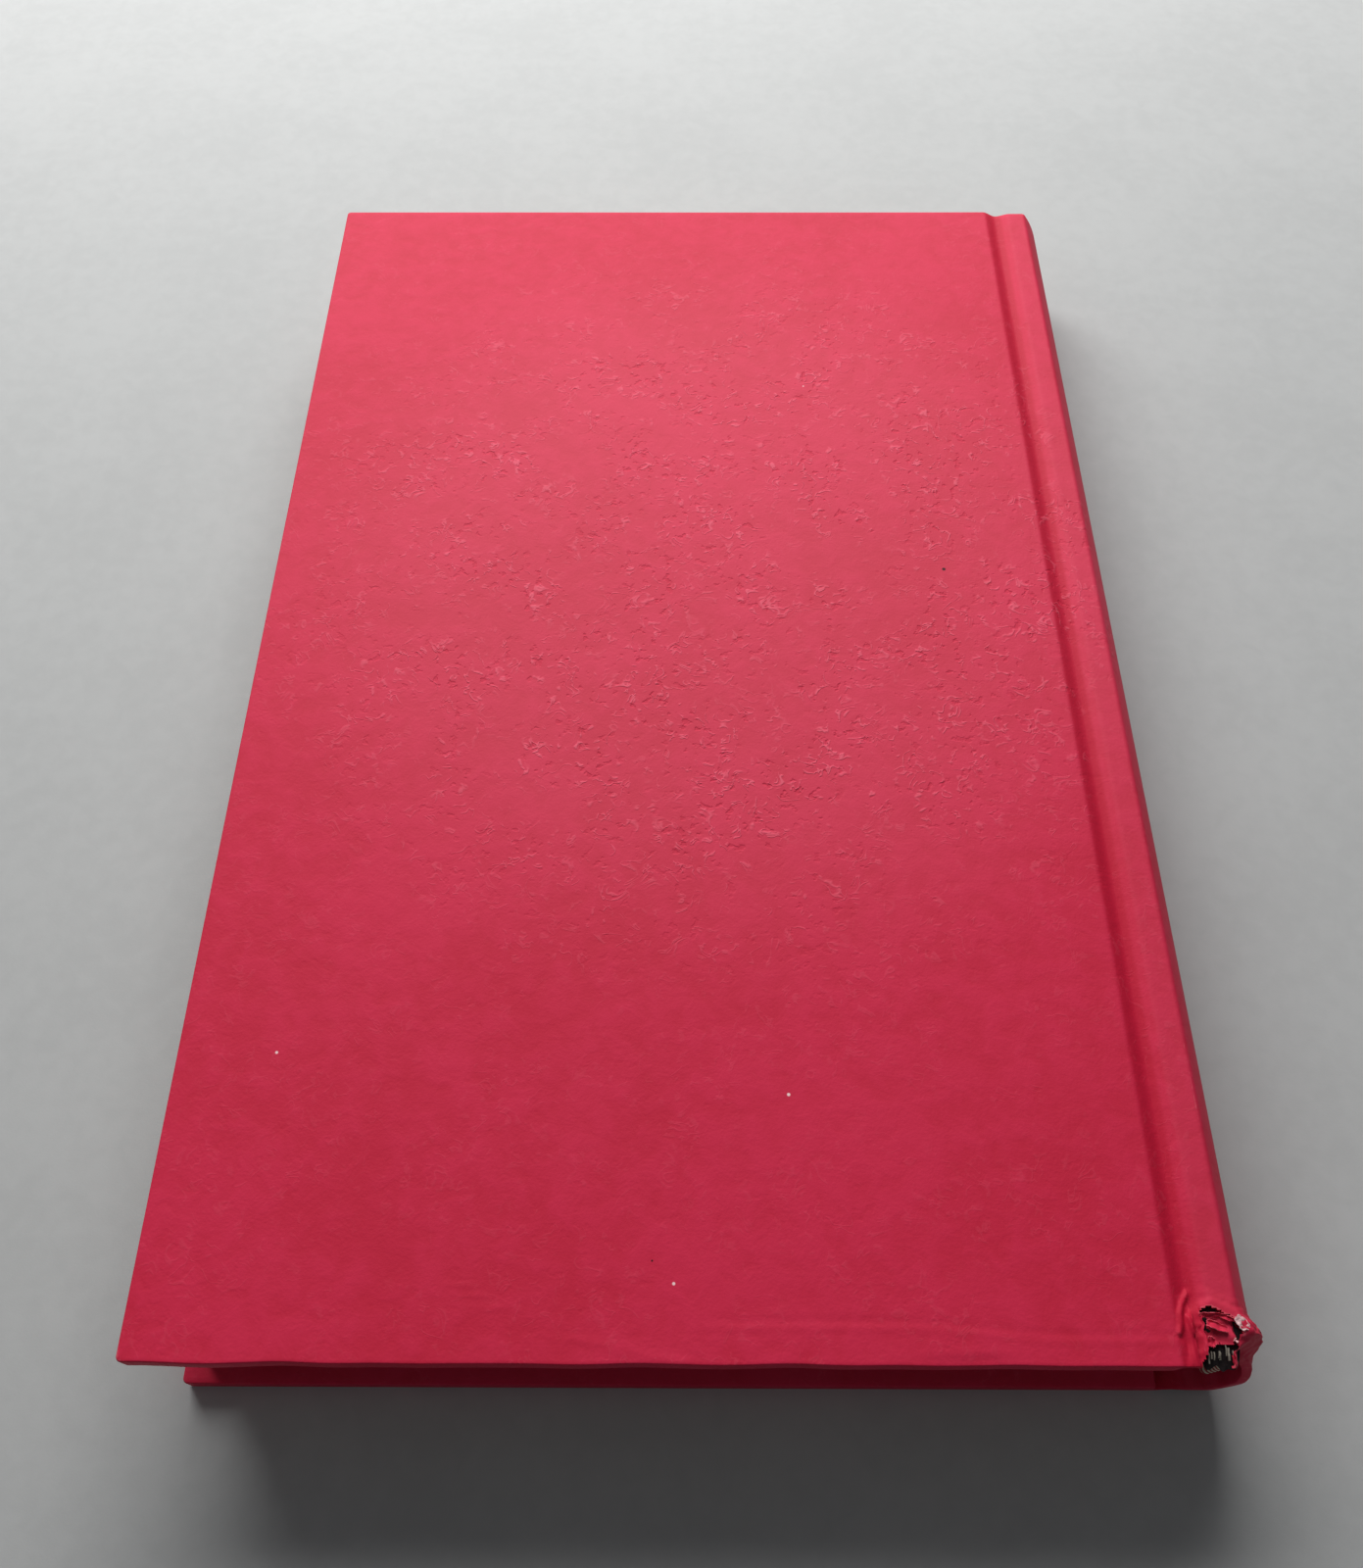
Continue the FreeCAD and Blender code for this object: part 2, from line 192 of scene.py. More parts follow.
# %% Node helpers
def add_node(tree, kind, inputs=None, **settings):
    made = tree.nodes.new(kind)
    for key, value in settings.items():
        setattr(made, key, value)
    for key, value in (inputs or {}).items():
        if isinstance(value, bpy.types.NodeSocket):
            tree.links.new(value, made.inputs[key])
        else:
            made.inputs[key].default_value = value
    return made


def calculate(tree, operation, first, second=0.0, third=0.0):
    return add_node(tree, "ShaderNodeMath", {0: first, 1: second, 2: third}, operation=operation).outputs[0]


def remap(tree, value, low, high, new_low=0.0, new_high=1.0):
    settings = {"Value": value, "From Min": low, "From Max": high, "To Min": new_low, "To Max": new_high}
    return add_node(tree, "ShaderNodeMapRange", settings, interpolation_type="SMOOTHSTEP").outputs[0]


def blend_colours(tree, share, first, second):
    return add_node(tree, "ShaderNodeMix", {0: share, 6: first, 7: second}, data_type="RGBA").outputs[2]


def cloud(tree, vector, size, detail=2.0, rough=0.5, distortion=0.0):
    """Soft noise whose patches are about this wide, in metres."""
    settings = {"Vector": vector, "Scale": 1 / size, "Detail": detail, "Roughness": rough,
                "Distortion": distortion}
    return add_node(tree, "ShaderNodeTexNoise", settings).outputs["Fac"]


def colour(red, green, blue):
    """A colour as it is read off a screen, from 0 to 255, made linear."""
    linear = [((c / 255 + 0.055) / 1.055) ** 2.4 if c > 10 else c / 255 / 12.92 for c in (red, green, blue)]
    return (*linear, 1.0)


def new_group(name, inputs, outputs):
    tree = bpy.data.node_groups.new(name, "ShaderNodeTree")
    for socket, kind in inputs:
        tree.interface.new_socket(name=socket, in_out="INPUT", socket_type=f"NodeSocket{kind}")
    for socket, kind in outputs:
        tree.interface.new_socket(name=socket, in_out="OUTPUT", socket_type=f"NodeSocket{kind}")
    return tree, tree.nodes.new("NodeGroupInput").outputs, tree.nodes.new("NodeGroupOutput").inputs


def place_group(tree, group, inputs):
    return add_node(tree, "ShaderNodeGroup", inputs, node_tree=group).outputs


def new_material(name):
    material = bpy.data.materials.new(name)
    material.use_nodes = True
    tree = material.node_tree
    shader = tree.nodes["Principled BSDF"]
    here = add_node(tree, "ShaderNodeTexCoord").outputs["Object"]
    return material, tree, shader, here


# %% [markdown]
# ## Marks that the papers share
# Cheap wood-pulp paper is cloudy: patches a few centimetres across, and smaller ones inside them.
# Handling lifts short crooked fibres in clusters, which show as tiny bright worms with a dark side.
# Both are groups, placed in each paper with its own numbers.

# %% Group: cloudy paper
WIDE_PATCH = 30 * MM
SMALL_PATCH = 3.5 * MM
GRAIN = 0.4 * MM

cloudy_group, got, put = new_group(
    "cloudy_paper", [("Vector", "Vector")], [("Cloud", "Float"), ("Grain", "Float")]
)
wide_cloud = cloud(cloudy_group, got["Vector"], WIDE_PATCH, 3, 0.6)
small_cloud = cloud(cloudy_group, got["Vector"], SMALL_PATCH, 3, 0.6, 0.3)
small_part = calculate(cloudy_group, "MULTIPLY", small_cloud, 0.5)
cloudy_group.links.new(calculate(cloudy_group, "MULTIPLY_ADD", wide_cloud, 0.5, small_part), put["Cloud"])
cloudy_group.links.new(cloud(cloudy_group, got["Vector"], GRAIN, 4, 0.65), put["Grain"])
print("group", cloudy_group.name)

# %% Group: lifted fibres
FIBRE_CROOK = 3.4 * MM
FIBRE_LENGTH = 1.9 * MM
CLUSTER = 12 * MM
DENT = 1.4 * MM

fibre_group, got, put = new_group(
    "lifted_fibres", [("Vector", "Vector"), ("Clusters", "Float")], [("Fibres", "Float"), ("Dents", "Float")]
)
crooked = cloud(fibre_group, got["Vector"], FIBRE_CROOK, 2, 0.55, 1.2)
thin_line = calculate(fibre_group, "ABSOLUTE", calculate(fibre_group, "SUBTRACT", crooked, 0.5))
thin_line = remap(fibre_group, thin_line, 0.050, 0.0)
short = remap(fibre_group, cloud(fibre_group, got["Vector"], FIBRE_LENGTH, 1), 0.46, 0.60)
patches = remap(fibre_group, cloud(fibre_group, got["Vector"], CLUSTER, 3, 0.6), 0.34, 0.60)
patches = calculate(fibre_group, "MULTIPLY", patches, got["Clusters"])
fibres = calculate(fibre_group, "MULTIPLY", calculate(fibre_group, "MULTIPLY", thin_line, short), patches)
fibre_group.links.new(fibres, put["Fibres"])
dents = remap(fibre_group, cloud(fibre_group, got["Vector"], DENT, 2), 0.42, 0.30)
fibre_group.links.new(calculate(fibre_group, "MULTIPLY", dents, patches), put["Dents"])
print("group", fibre_group.name)

# %% Group: rubbed edges
rubbed_group, got, put = new_group(
    "rubbed_edges", [("Vector", "Vector"), ("Wear", "Float")], [("Rubbed", "Float")]
)
ragged = cloud(rubbed_group, got["Vector"], 1.6 * MM, 4, 0.7)
rubbed = calculate(rubbed_group, "MULTIPLY_ADD", got["Wear"], 0.9, ragged)
rubbed_group.links.new(remap(rubbed_group, rubbed, 0.98, 1.25), put["Rubbed"])
print("group", rubbed_group.name)

# %% Group: one round spot on the cover
spot_group, got, put = new_group(
    "spot", [("Vector", "Vector"), ("Place", "Vector"), ("Size", "Float")], [("Spot", "Float")]
)
apart = add_node(spot_group, "ShaderNodeVectorMath", {0: got["Vector"], 1: got["Place"]},
                 operation="DISTANCE")
share = calculate(spot_group, "DIVIDE", apart.outputs["Value"], got["Size"])
spot_group.links.new(remap(spot_group, share, 1.0, 0.5), put["Spot"])
print("group", spot_group.name)

# %% [markdown]
# ## Red covering paper
# It is dyed through and uncoated: matt, with a broad weak shine that washes it pink against the
# light. The clouding turns it between a deeper and a lighter red. One wide area past the middle of the
# cover is washed lighter pink as painted sheen, and the lifted fibres are thickest there. Where an edge
# is rubbed the dye has gone and the paler fibre shows. The joint's groove carries painted shade, a deeper
# red, and the strip beside it a painted highlight. Both come from attributes that each piece carries.

# %% Material: covering paper
RED_DEEP = colour(199, 27, 60)
RED_LIGHT = colour(209, 35, 72)
RED_FIBRE = colour(244, 120, 140)
RED_RUBBED = colour(226, 92, 108)
# Deeper red for the joint's groove: painted shade.
RED_PAINTED_GROOVE_SHADE = colour(189, 12, 48)
# A wide spot past the middle of the cover: painted sheen, and where the lifted fibres cluster.
SHEEN_AND_FIBRE_PLACE = (4 * MM, 18 * MM, FACE)
SHEEN_AND_FIBRE_SIZE = 88 * MM
PALE_SPECK = colour(250, 214, 214)
DARK_SPECK = colour(60, 10, 18)
PALE_SPECKS = [((-58.6, -70.9), 0.28), ((12.3, -76.7), 0.30), ((-3.2, -101.4), 0.26), ((20.0, 60.0), 0.20)]
DARK_SPECKS = [((42.2, 15.6), 0.42), ((-6.0, -98.6), 0.18), ((-30.0, 40.0), 0.16)]


def spots(tree, here, places):
    total = 0.0
    for (x, y), size in places:
        inputs = {"Vector": here, "Place": (x * MM, y * MM, FACE), "Size": size * MM}
        spot = place_group(tree, spot_group, inputs)["Spot"]
        total = spot if isinstance(total, float) else calculate(tree, "MAXIMUM", total, spot)
    return total


def covering_material():
    material, tree, shader, here = new_material("covering_paper")
    wear = add_node(tree, "ShaderNodeAttribute", attribute_name="wear").outputs["Fac"]
    joint_shade_and_highlight = add_node(tree, "ShaderNodeAttribute", attribute_name="joint_shade_and_highlight").outputs["Fac"]
    cloudy = place_group(tree, cloudy_group, {"Vector": here})
    sheen_and_fibre_spot = {"Vector": here, "Place": SHEEN_AND_FIBRE_PLACE, "Size": SHEEN_AND_FIBRE_SIZE}
    fibre_clusters_and_sheen = calculate(tree, "MULTIPLY_ADD", place_group(tree, spot_group, sheen_and_fibre_spot)["Spot"], 0.85, 0.15)
    lifted = place_group(tree, fibre_group, {"Vector": here, "Clusters": fibre_clusters_and_sheen})
    rubbed = place_group(tree, rubbed_group, {"Vector": here, "Wear": wear})["Rubbed"]
    red = blend_colours(tree, remap(tree, cloudy["Cloud"], 0.35, 0.65), RED_DEEP, RED_LIGHT)
    # Painted sheen: the wide spot washes the red a little lighter pink.
    red = blend_colours(tree, calculate(tree, "MULTIPLY", fibre_clusters_and_sheen, 0.12), red, RED_FIBRE)
    # Painted light at the joint: a painted highlight on the strip beside the groove, painted shade in the
    # groove.
    red = blend_colours(tree, remap(tree, joint_shade_and_highlight, 0.0, -1.0, 0.0, 0.06), red, RED_FIBRE)
    red = blend_colours(tree, remap(tree, joint_shade_and_highlight, 0.0, 1.0, 0.0, 0.75), red, RED_PAINTED_GROOVE_SHADE)
    red = blend_colours(tree, calculate(tree, "MULTIPLY", lifted["Fibres"], 0.40), red, RED_FIBRE)
    red = blend_colours(tree, calculate(tree, "MULTIPLY", lifted["Dents"], 0.5), red, RED_DEEP)
    red = blend_colours(tree, calculate(tree, "MULTIPLY", rubbed, 0.8), red, RED_RUBBED)
    red = blend_colours(tree, spots(tree, here, PALE_SPECKS), red, PALE_SPECK)
    red = blend_colours(tree, spots(tree, here, DARK_SPECKS), red, DARK_SPECK)
    tree.links.new(red, shader.inputs["Base Color"])
    shader.inputs["Roughness"].default_value = 0.64
    shader.inputs["Specular IOR Level"].default_value = 0.2
    grain = calculate(tree, "MULTIPLY", cloudy["Grain"], 0.35)
    relief = calculate(tree, "MULTIPLY_ADD", cloudy["Cloud"], 2.5, grain)
    relief = calculate(tree, "ADD", relief, lifted["Fibres"])
    relief = calculate(tree, "SUBTRACT", relief, lifted["Dents"])
    bump = add_node(tree, "ShaderNodeBump", {"Height": relief, "Strength": 0.65, "Distance": 0.12 * MM})
    tree.links.new(bump.outputs["Normal"], shader.inputs["Normal"])
    return material


covering_paper = covering_material()
print("material", covering_paper.name, "with", len(covering_paper.node_tree.nodes), "nodes")

# %% [markdown]
# ## The other papers, the boards and the cloth
# The page edges show a fine line for every few sheets, and a little dust. Endpapers are smooth and
# cream. Greyboard is pressed from waste fibres, so it is speckled and layered. The gauze is an open
# weave in glue, and the headbands carry red and cream stitches, which their attribute tells apart.

# %% Group: sheets seen from the edge
sheets_group, got, put = new_group(
    "sheet_edges", [("Vector", "Vector"), ("Sheet", "Float")], [("Lines", "Float"), ("Dust", "Float")]
)
flat_way = add_node(sheets_group, "ShaderNodeVectorMath", {0: got["Vector"], 1: (0.02, 0.02, 1.0)},
                    operation="MULTIPLY")
sheet_look = {"Vector": flat_way.outputs[0], "Scale": got["Sheet"], "Detail": 3.0, "Roughness": 0.7}
sheet_noise = add_node(sheets_group, "ShaderNodeTexNoise", sheet_look)
sheets_group.links.new(remap(sheets_group, sheet_noise.outputs["Fac"], 0.38, 0.62), put["Lines"])
dust = cloud(sheets_group, got["Vector"], 12 * MM, 3, 0.6)
sheets_group.links.new(remap(sheets_group, dust, 0.45, 0.75), put["Dust"])
print("group", sheets_group.name)


# %% Material: page edges
def finish_material(material, tree, shader, paint, roughness, relief, depth):
    tree.links.new(paint, shader.inputs["Base Color"])
    shader.inputs["Roughness"].default_value = roughness
    shader.inputs["Specular IOR Level"].default_value = 0.35
    bump = add_node(tree, "ShaderNodeBump", {"Height": relief, "Strength": 0.6, "Distance": depth})
    tree.links.new(bump.outputs["Normal"], shader.inputs["Normal"])
    return material


def page_material():
    material, tree, shader, here = new_material("page_paper")
    sheets = place_group(tree, sheets_group, {"Vector": here, "Sheet": 9000.0})
    cream = blend_colours(tree, sheets["Lines"], colour(206, 196, 172), colour(240, 232, 212))
    dusty = calculate(tree, "MULTIPLY", sheets["Dust"], 0.35)
    cream = blend_colours(tree, dusty, cream, colour(190, 172, 138))
    return finish_material(material, tree, shader, cream, 0.85, sheets["Lines"], 0.12 * MM)


page_paper = page_material()


# %% Materials: endpaper, greyboard, kraft paper, gauze and stitches
def paper_material(name, deep, light, grain_depth, roughness):
    material, tree, shader, here = new_material(name)
    cloudy = place_group(tree, cloudy_group, {"Vector": here})
    paint = blend_colours(tree, remap(tree, cloudy["Cloud"], 0.35, 0.65), deep, light)
    return finish_material(material, tree, shader, paint, roughness, cloudy["Grain"], grain_depth)


def greyboard_material(name, deep, light):
    material, tree, shader, here = new_material(name)
    cloudy = place_group(tree, cloudy_group, {"Vector": here})
    sheets = place_group(tree, sheets_group, {"Vector": here, "Sheet": 4000.0})
    paint = blend_colours(tree, cloudy["Grain"], deep, light)
    paint = blend_colours(tree, calculate(tree, "MULTIPLY", sheets["Lines"], 0.4), paint, deep)
    return finish_material(material, tree, shader, paint, 0.9, cloudy["Grain"], 0.2 * MM)


def gauze_material():
    material, tree, shader, here = new_material("gauze")
    threads = []
    for direction in ("X", "Z"):
        turned = add_node(tree, "ShaderNodeMapping", {"Vector": here, "Rotation": (math.pi / 2, 0, 0)})
        wave = {"Vector": turned.outputs["Vector"], "Scale": 280.0, "Distortion": 0.4}
        settings = {"wave_type": "BANDS", "bands_direction": direction.replace("Z", "Y")}
        threads.append(add_node(tree, "ShaderNodeTexWave", wave, **settings).outputs["Fac"])
    weave = calculate(tree, "MAXIMUM", *threads)
    paint = blend_colours(tree, weave, colour(188, 168, 128), colour(232, 222, 196))
    return finish_material(material, tree, shader, paint, 0.9, weave, 0.2 * MM)


def stitch_material():
    material, tree, shader, here = new_material("band_thread")
    stitch = add_node(tree, "ShaderNodeAttribute", attribute_name="stitch").outputs["Fac"]
    cloudy = place_group(tree, cloudy_group, {"Vector": here})
    paint = blend_colours(tree, remap(tree, stitch, 0.4, 0.6), colour(232, 220, 196), colour(168, 34, 52))
    soiled = calculate(tree, "MULTIPLY", cloudy["Grain"], 0.35)
    paint = blend_colours(tree, soiled, paint, colour(120, 84, 70))
    return finish_material(material, tree, shader, paint, 0.7, cloudy["Grain"], 0.1 * MM)


endpaper = paper_material("endpaper", colour(230, 222, 202), colour(242, 236, 220), 0.04 * MM, 0.8)
kraft_paper = paper_material("kraft_paper", colour(150, 112, 74), colour(182, 142, 98), 0.08 * MM, 0.8)
torn_paper = paper_material("torn_paper", colour(212, 116, 128), colour(253, 232, 228), 0.25 * MM, 0.9)
greyboard = greyboard_material("greyboard", colour(86, 78, 70), colour(170, 160, 146))
# A greyboard coloured near black, as painted shade inside the open tail.
shade_black_board = greyboard_material("shade_black_board", colour(11, 7, 9), colour(50, 38, 39))
gauze = gauze_material()
band_thread = stitch_material()
floor_paper = paper_material("floor_paper", colour(178, 179, 178), colour(183, 184, 183), 0.02 * MM, 0.9)
print("materials:", [material.name for material in bpy.data.materials])

# %% [markdown]
# ## A cover's paper
# On the real case the paper is laid over the board, wrapped round three of its edges and glued down
# inside, with a mitre at each fore corner. So it is made as one thin sheet: a row of points across
# the cover and the joint is pulled from tail to head, the rim is folded down, then folded in, the
# folds are rounded with a bevel, and last the sheet is given its thickness.

# %% Shape of the joint groove
SHOULDER_DROP = FACE - SHOULDER_TOP
GROOVE_WALL = (-1.95 * MM, 0.75 * MM)
GROOVE_RISE = (0.80 * MM, 3.60 * MM)


def ramp(value, low, high):
    share = min(max((value - low) / (high - low), 0), 1)
    return share * share * (3 - 2 * share)


def joint_level(across):
    """Height of the paper this far past the hinge line, towards the spine."""
    fall = ramp(across, *GROOVE_WALL)
    rise = ramp(across, *GROOVE_RISE)
    return FACE - GROOVE_DEPTH * fall + (GROOVE_DEPTH - SHOULDER_DROP) * rise


def steps(low, high, count):
    return [low + (high - low) * i / count for i in range(count + 1)]


# %% Sheet helpers
def row_of_points(bm, points):
    made = [bm.verts.new(point) for point in points]
    return [bm.edges.new(pair) for pair in zip(made, made[1:])]


def pull(bm, edges, move):
    """Extrudes a row of edges, moves each new point by what the function gives, returns the row."""
    made = bmesh.ops.extrude_edge_only(bm, edges=edges)["geom"]
    points = {item for item in made if isinstance(item, bmesh.types.BMVert)}
    for point in points:
        point.co += move(point.co)
    return [item for item in made if isinstance(item, bmesh.types.BMEdge) and points.issuperset(item.verts)]


def soften(bm, edges, offset, segments):
    bmesh.ops.bevel(bm, geom=edges, offset=offset, segments=segments, profile=0.5, affect="EDGES",
                    material=-1, clamp_overlap=True)


def cut_across(bm, axis, places):
    """Cuts the sheet at each place along X or Y, so that later dents have points to move."""
    normal = Vector((axis == "X", axis == "Y", 0))
    for place in places:
        everything = [*bm.verts, *bm.edges, *bm.faces]
        bmesh.ops.bisect_plane(bm, geom=everything, plane_co=normal * place, plane_no=normal, dist=2e-6)


def new_piece(bm, name, material, sharp_from=40):
    for face in bm.faces:
        face.smooth = True
    for edge in bm.edges:
        edge.smooth = edge.calc_face_angle(0) < math.radians(sharp_from)
    mesh = bpy.data.meshes.new(name)
    bm.to_mesh(mesh)
    bm.free()
    mesh.materials.append(material)
    piece = bpy.data.objects.new(name, mesh)
    bpy.context.scene.collection.objects.link(piece)
    print(f"{name}: {len(mesh.polygons)} faces")
    return piece


# %% Rows and columns of the paper
CORNER_ROUND = 0.7 * MM
EDGE_ROUND = 0.30 * MM
FOLDED_JOINT = 0.6 * MM
TORN_ROWS = [-HALF_HEIGHT + 0.25 * MM * i for i in range(2, 48)]
PLAIN_ROWS = [y for y in steps(-HALF_HEIGHT + 13 * MM, HALF_HEIGHT - 1.2 * MM, 52)]
ROWS = [*TORN_ROWS, *PLAIN_ROWS]
COLUMNS = [CASE_FORE + 0.8 * MM + (BOARD_EDGE - 4 * MM - CASE_FORE) * i / 62 for i in range(62)]
COLUMNS += steps(BOARD_EDGE - 3 * MM, HINGE + GROOVE_WALL[0] - 0.2 * MM, 10)


# %% One cover's folded sheet
def fold_depth(x):
    """How far the rim is folded down: the board's thickness, or two papers over the joint."""
    share = ramp(x - HINGE, -1.9 * MM, -1.0 * MM)
    return (FACE - TURN_LOW) * (1 - share) + FOLDED_JOINT * share


def fold_in(place):
    at_fore = place.x < CASE_FORE + 1e-6
    return Vector((TURN_IN if at_fore else 0, -math.copysign(TURN_IN, place.y), 0))


def on_rim(place):
    return abs(abs(place.y) - HALF_HEIGHT) < 1e-6 or place.x < CASE_FORE + CORNER_ROUND + 1e-6


def rim_folds(bm):
    """The sharp edges that run along the rim, and not those that run across the sheet."""
    return [e for e in bm.edges
            if e.calc_face_angle(0) > math.radians(60) and all(on_rim(v.co) for v in e.verts)]


def cover_sheet():
    bm = bmesh.new()
    across = [HINGE + u for u in steps(GROOVE_WALL[0], SEAM, 19)]
    tail = row_of_points(bm, [(x, -HALF_HEIGHT, joint_level(x - HINGE)) for x in [CASE_FORE, *across]])
    pull(bm, tail, lambda place: Vector((0, 2 * HALF_HEIGHT, 0)))
    seam_x = HINGE + SEAM - 1e-6
    rim = [e for e in bm.edges if e.is_boundary and min(v.co.x for v in e.verts) < seam_x]
    low_rim = pull(bm, rim, lambda place: Vector((0, 0, -fold_depth(place.x))))
    pull(bm, low_rim, fold_in)
    bmesh.ops.recalc_face_normals(bm, faces=bm.faces)
    upright = [e for e in bm.edges if not e.is_boundary and abs(e.verts[0].co.z - e.verts[1].co.z) > MM
               and max(v.co.x for v in e.verts) < CASE_FORE + 1e-6]
    soften(bm, upright, CORNER_ROUND, 4)
    soften(bm, rim_folds(bm), EDGE_ROUND, 3)
    cut_across(bm, "Y", ROWS)
    cut_across(bm, "X", COLUMNS)
    return bm


# %% [markdown]
# ## Dents, folds and worn edges
# Nothing on an old book is dead flat. The boards have a slow warp of a few tenths of a millimetre,
# the tail edge has been knocked, and at the tail of the joint the paper has been crushed: it stands
# up in two creases beside the groove, and has torn open over the spine's shoulder. Each mark is a
# path or a place in millimetres, counted from the hinge line and from the tail edge.

# %% Where the marks are
CREASE_BY_BOARD = [(0.85, 8.9), (-0.25, 7.5), (-0.8, 6.2), (-0.95, 4.8), (-1.2, 4.0)]
CREASE_IN_GROOVE = [(0.2, 5.9), (0.4, 4.8), (0.65, 3.9)]
CREASE_BY_TEAR = [(0.9, 6.5), (1.15, 5.0), (1.6, 3.4), (1.75, 2.0)]
TORN_START = [(0.9, -1), (1.2, 0.5), (1.85, 1.4), (2.25, 2.6), (2.15, 3.6), (1.9, 4.8), (1.75, 5.8)]
TORN_EDGE = [(1.75, 6.5), (2.15, 7.0), (2.7, 7.2), (3.3, 7.2), (4.05, 6.85), (4.7, 6.4), (5.75, 6.0),
             (6.5, 5.5)]
TORN_END = [(6.15, 4.7), (6.4, 4.0), (6.0, 3.2), (5.8, 2.3), (5.2, 1.4), (4.9, -1)]
SWELLING = [(2.6, 8.7), (6.0, 7.2)]
TAIL_CREASE = [(-60, 4.3), (-42, 4.4), (-31, 4.25), (-18, 2.9), (-0.9, 2.9)]
BESIDE_CREASE = [(u, v + 0.9) for u, v in TAIL_CREASE]
TAIL_SCUFF = [(-78, 3.2), (-73, 2.3), (-67.5, 0.9), (-63, 0.3)]
SCRATCH = [(-92.2, 9.7), (-88.0, 7.1), (-87.2, 6.3)]
TAIL_NICK = [(-31.5, 0.2), (-24.2, 0.35)]

# Each mark with its height in millimetres, or its wear, and how far it reaches to either side.
CRUSHED_MARKS = ((CREASE_BY_BOARD, 0.40, 0.60), (CREASE_IN_GROOVE, 0.34, 0.45), (CREASE_BY_TEAR, 0.36, 0.50),
                 (TORN_EDGE, 0.34, 1.3), (SWELLING, 0.10, 1.2))
KNOCKED_MARKS = ((TAIL_CREASE, 0.025, 0.8), (BESIDE_CREASE, -0.02, 0.8), (TAIL_SCUFF, 0.05, 0.7),
                 (TAIL_NICK, -0.12, 1.5), (SCRATCH, 0.05, 0.5))
WORN_ON_COVER = ((CREASE_BY_BOARD, 0.5, 0.5), (CREASE_IN_GROOVE, 0.6, 0.4), (TAIL_SCUFF, 0.5, 0.5),
                 (SCRATCH, 0.5, 0.4), (CREASE_BY_TEAR, 0.6, 0.4))
WORN_ON_SPINE = ((TORN_EDGE, 0.9, 0.45), (CREASE_BY_TEAR, 0.6, 0.4), (TORN_END, 0.5, 0.4))
HIGHEST = FACE + 0.55 * MM


def uv_place(place):
    """A place counted in millimetres, past the hinge line and from the tail edge."""
    return (place.x - HINGE) / MM, (place.y + HALF_HEIGHT) / MM


def hill(apart, reach):
    """A smooth hill: 1 at its middle and 0 from the reach outwards."""
    share = min(apart / reach, 1)
    return (1 - share * share) ** 2


def apart_from(path, u, v):
    """Distance in millimetres from a place to a path."""
    nearest = 1e9
    here = Vector((u, v))
    for first, second in zip(path, path[1:]):
        start, along = Vector(first), Vector(second) - Vector(first)
        share = min(max((here - start).dot(along) / along.length_squared, 0), 1)
        nearest = min(nearest, (here - start - along * share).length)
    return nearest


def marked(marks, u, v):
    """What some marks add up to at a place."""
    return sum(amount * hill(apart_from(path, u, v), reach) for path, amount, reach in marks)


def inside(path, u, v):
    """Whether a place lies inside a closed path."""
    within = False
    for (u1, v1), (u2, v2) in zip(path, [*path[1:], path[0]]):
        if (v1 > v) != (v2 > v) and u < (u2 - u1) * (v - v1) / (v2 - v1) + u1:
            within = not within
    return within


def crushed(u, v):
    """How far the crushed paper stands up at the tail of the joint, in millimetres."""
    if v > 14 or u < -70:
        return 0
    near = 1 - ramp(v, 4.5, 8.5)
    lift = 0.72 * near * ramp(u, -1.2, 0.5) * (1 - ramp(u, 1.3, 2.8))
    folds = noise.noise(Vector((u * 1.3, v * 0.40, 3.0)))
    lift += 0.32 * near * ramp(u, -1.6, -0.2) * (1 - ramp(u, 5.6, 7.4)) * folds
    return lift + marked(CRUSHED_MARKS, u, v)


def knocked(u, v):
    """The tail edge's scuffs and the crease along it, in millimetres."""
    return marked(KNOCKED_MARKS, u, v) if v < 14 else 0


def warped(place, seed):
    return 0.14 * noise.noise(Vector((place.x * 14, place.y * 11, seed))) * MM


# %% Worn edges of a cover
def edge_wear(place):
    """More wear near the corners and the tail, none on the flat of the cover."""
    from_side = min(HALF_HEIGHT - abs(place.y), place.x - CASE_FORE)
    from_face = max(FACE - place.z, 0)
    at_corner = math.hypot(HALF_HEIGHT - abs(place.y), place.x - CASE_FORE)
    wear = 0.30 * hill(max(from_side, 0) + from_face, 0.7 * MM)
    wear += 0.7 * hill(at_corner, 4 * MM) * hill(max(from_side, 0), 1.5 * MM)
    return wear * (0.75 + 0.6 * noise.noise(place * 90))


def painted_joint_shading(place):
    """1 in the groove, where shade is painted, and -1 on the strip beside it, where a highlight is painted.
    """
    u = (place.x - HINGE - (0 if place.z > MIDDLE else LEAN)) / MM
    return ramp(u, -1.9, -1.0) * (1 - ramp(u, 1.2, 2.4)) - ramp(u, 2.4, 3.4) * (1 - ramp(u, 6.3, 6.8))


def paint_wear(bm, measure):
    layer = bm.verts.layers.float.new("wear")
    joint_shade_and_highlight = bm.verts.layers.float.new("joint_shade_and_highlight")
    for point in bm.verts:
        point[layer] = measure(point.co)
        # The joint attribute holds painted shade in the groove and a painted highlight on the strip beside
        # it.
        point[joint_shade_and_highlight] = painted_joint_shading(point.co)


